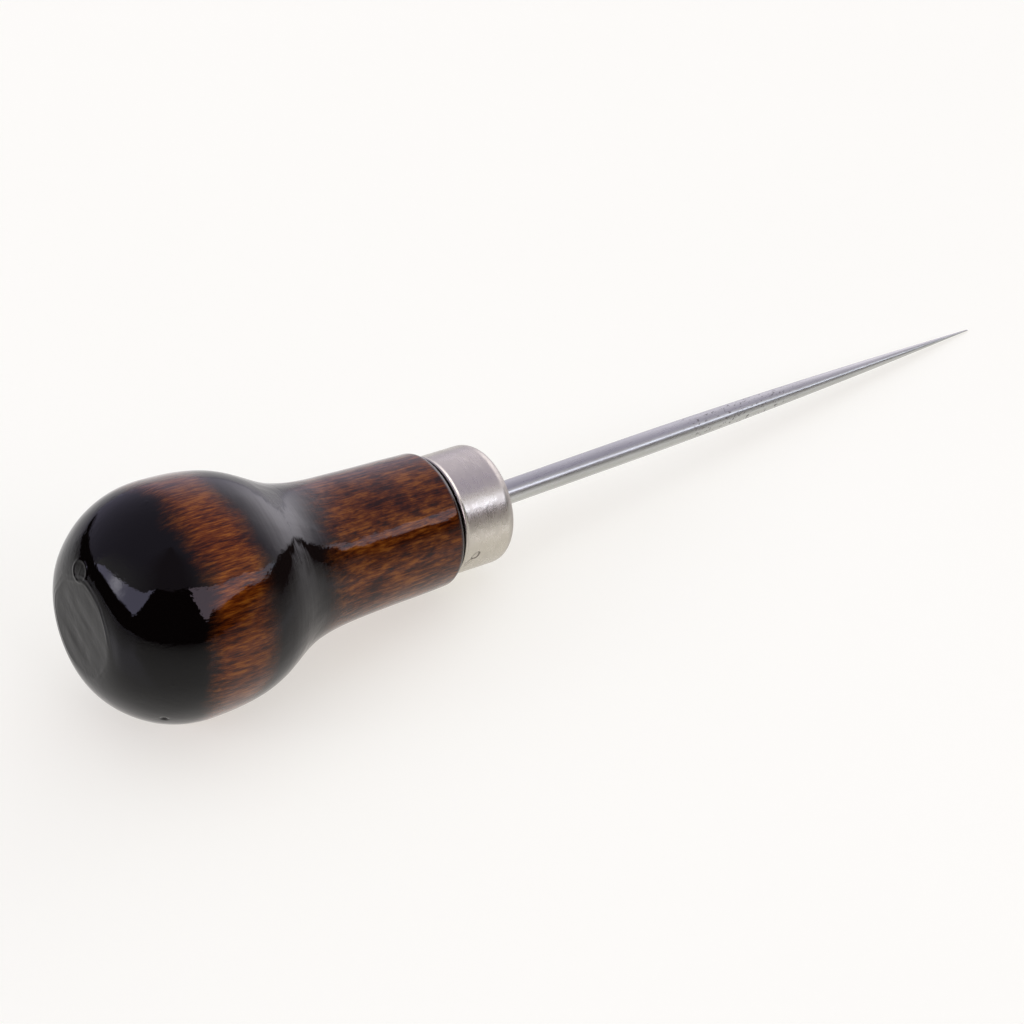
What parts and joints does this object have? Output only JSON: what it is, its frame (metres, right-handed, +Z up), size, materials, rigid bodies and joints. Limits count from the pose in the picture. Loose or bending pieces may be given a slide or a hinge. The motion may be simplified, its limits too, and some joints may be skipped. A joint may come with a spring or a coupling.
{
  "type": "scratch awl",
  "caption": "Scratch awl with a pear-shaped lacquered wood handle, a plated metal ferrule and a long round steel blade that tapers to a needle point, lying at rest.",
  "frame": {"origin": "centre of the bounding box in plan, on the ground plane that the awl lies on", "axes": "+X towards the needle tip, along the awl's length as it lies; +Z up; +Y across, 90 degrees from both"},
  "size_m": [0.153, 0.032, 0.0321],
  "materials": {
    "handle_wood": "dark brown and black stained hardwood under thick gloss lacquer",
    "ferrule_nickel": "satin nickel plate on drawn steel, lightly scuffed",
    "blade_steel": "ground and polished, with a few dark flecks"
  },
  "bodies": {
    "root": {"handle": "handle_wood", "ferrule": "ferrule_nickel", "blade": "blade_steel"}
  },
  "joints": []
}
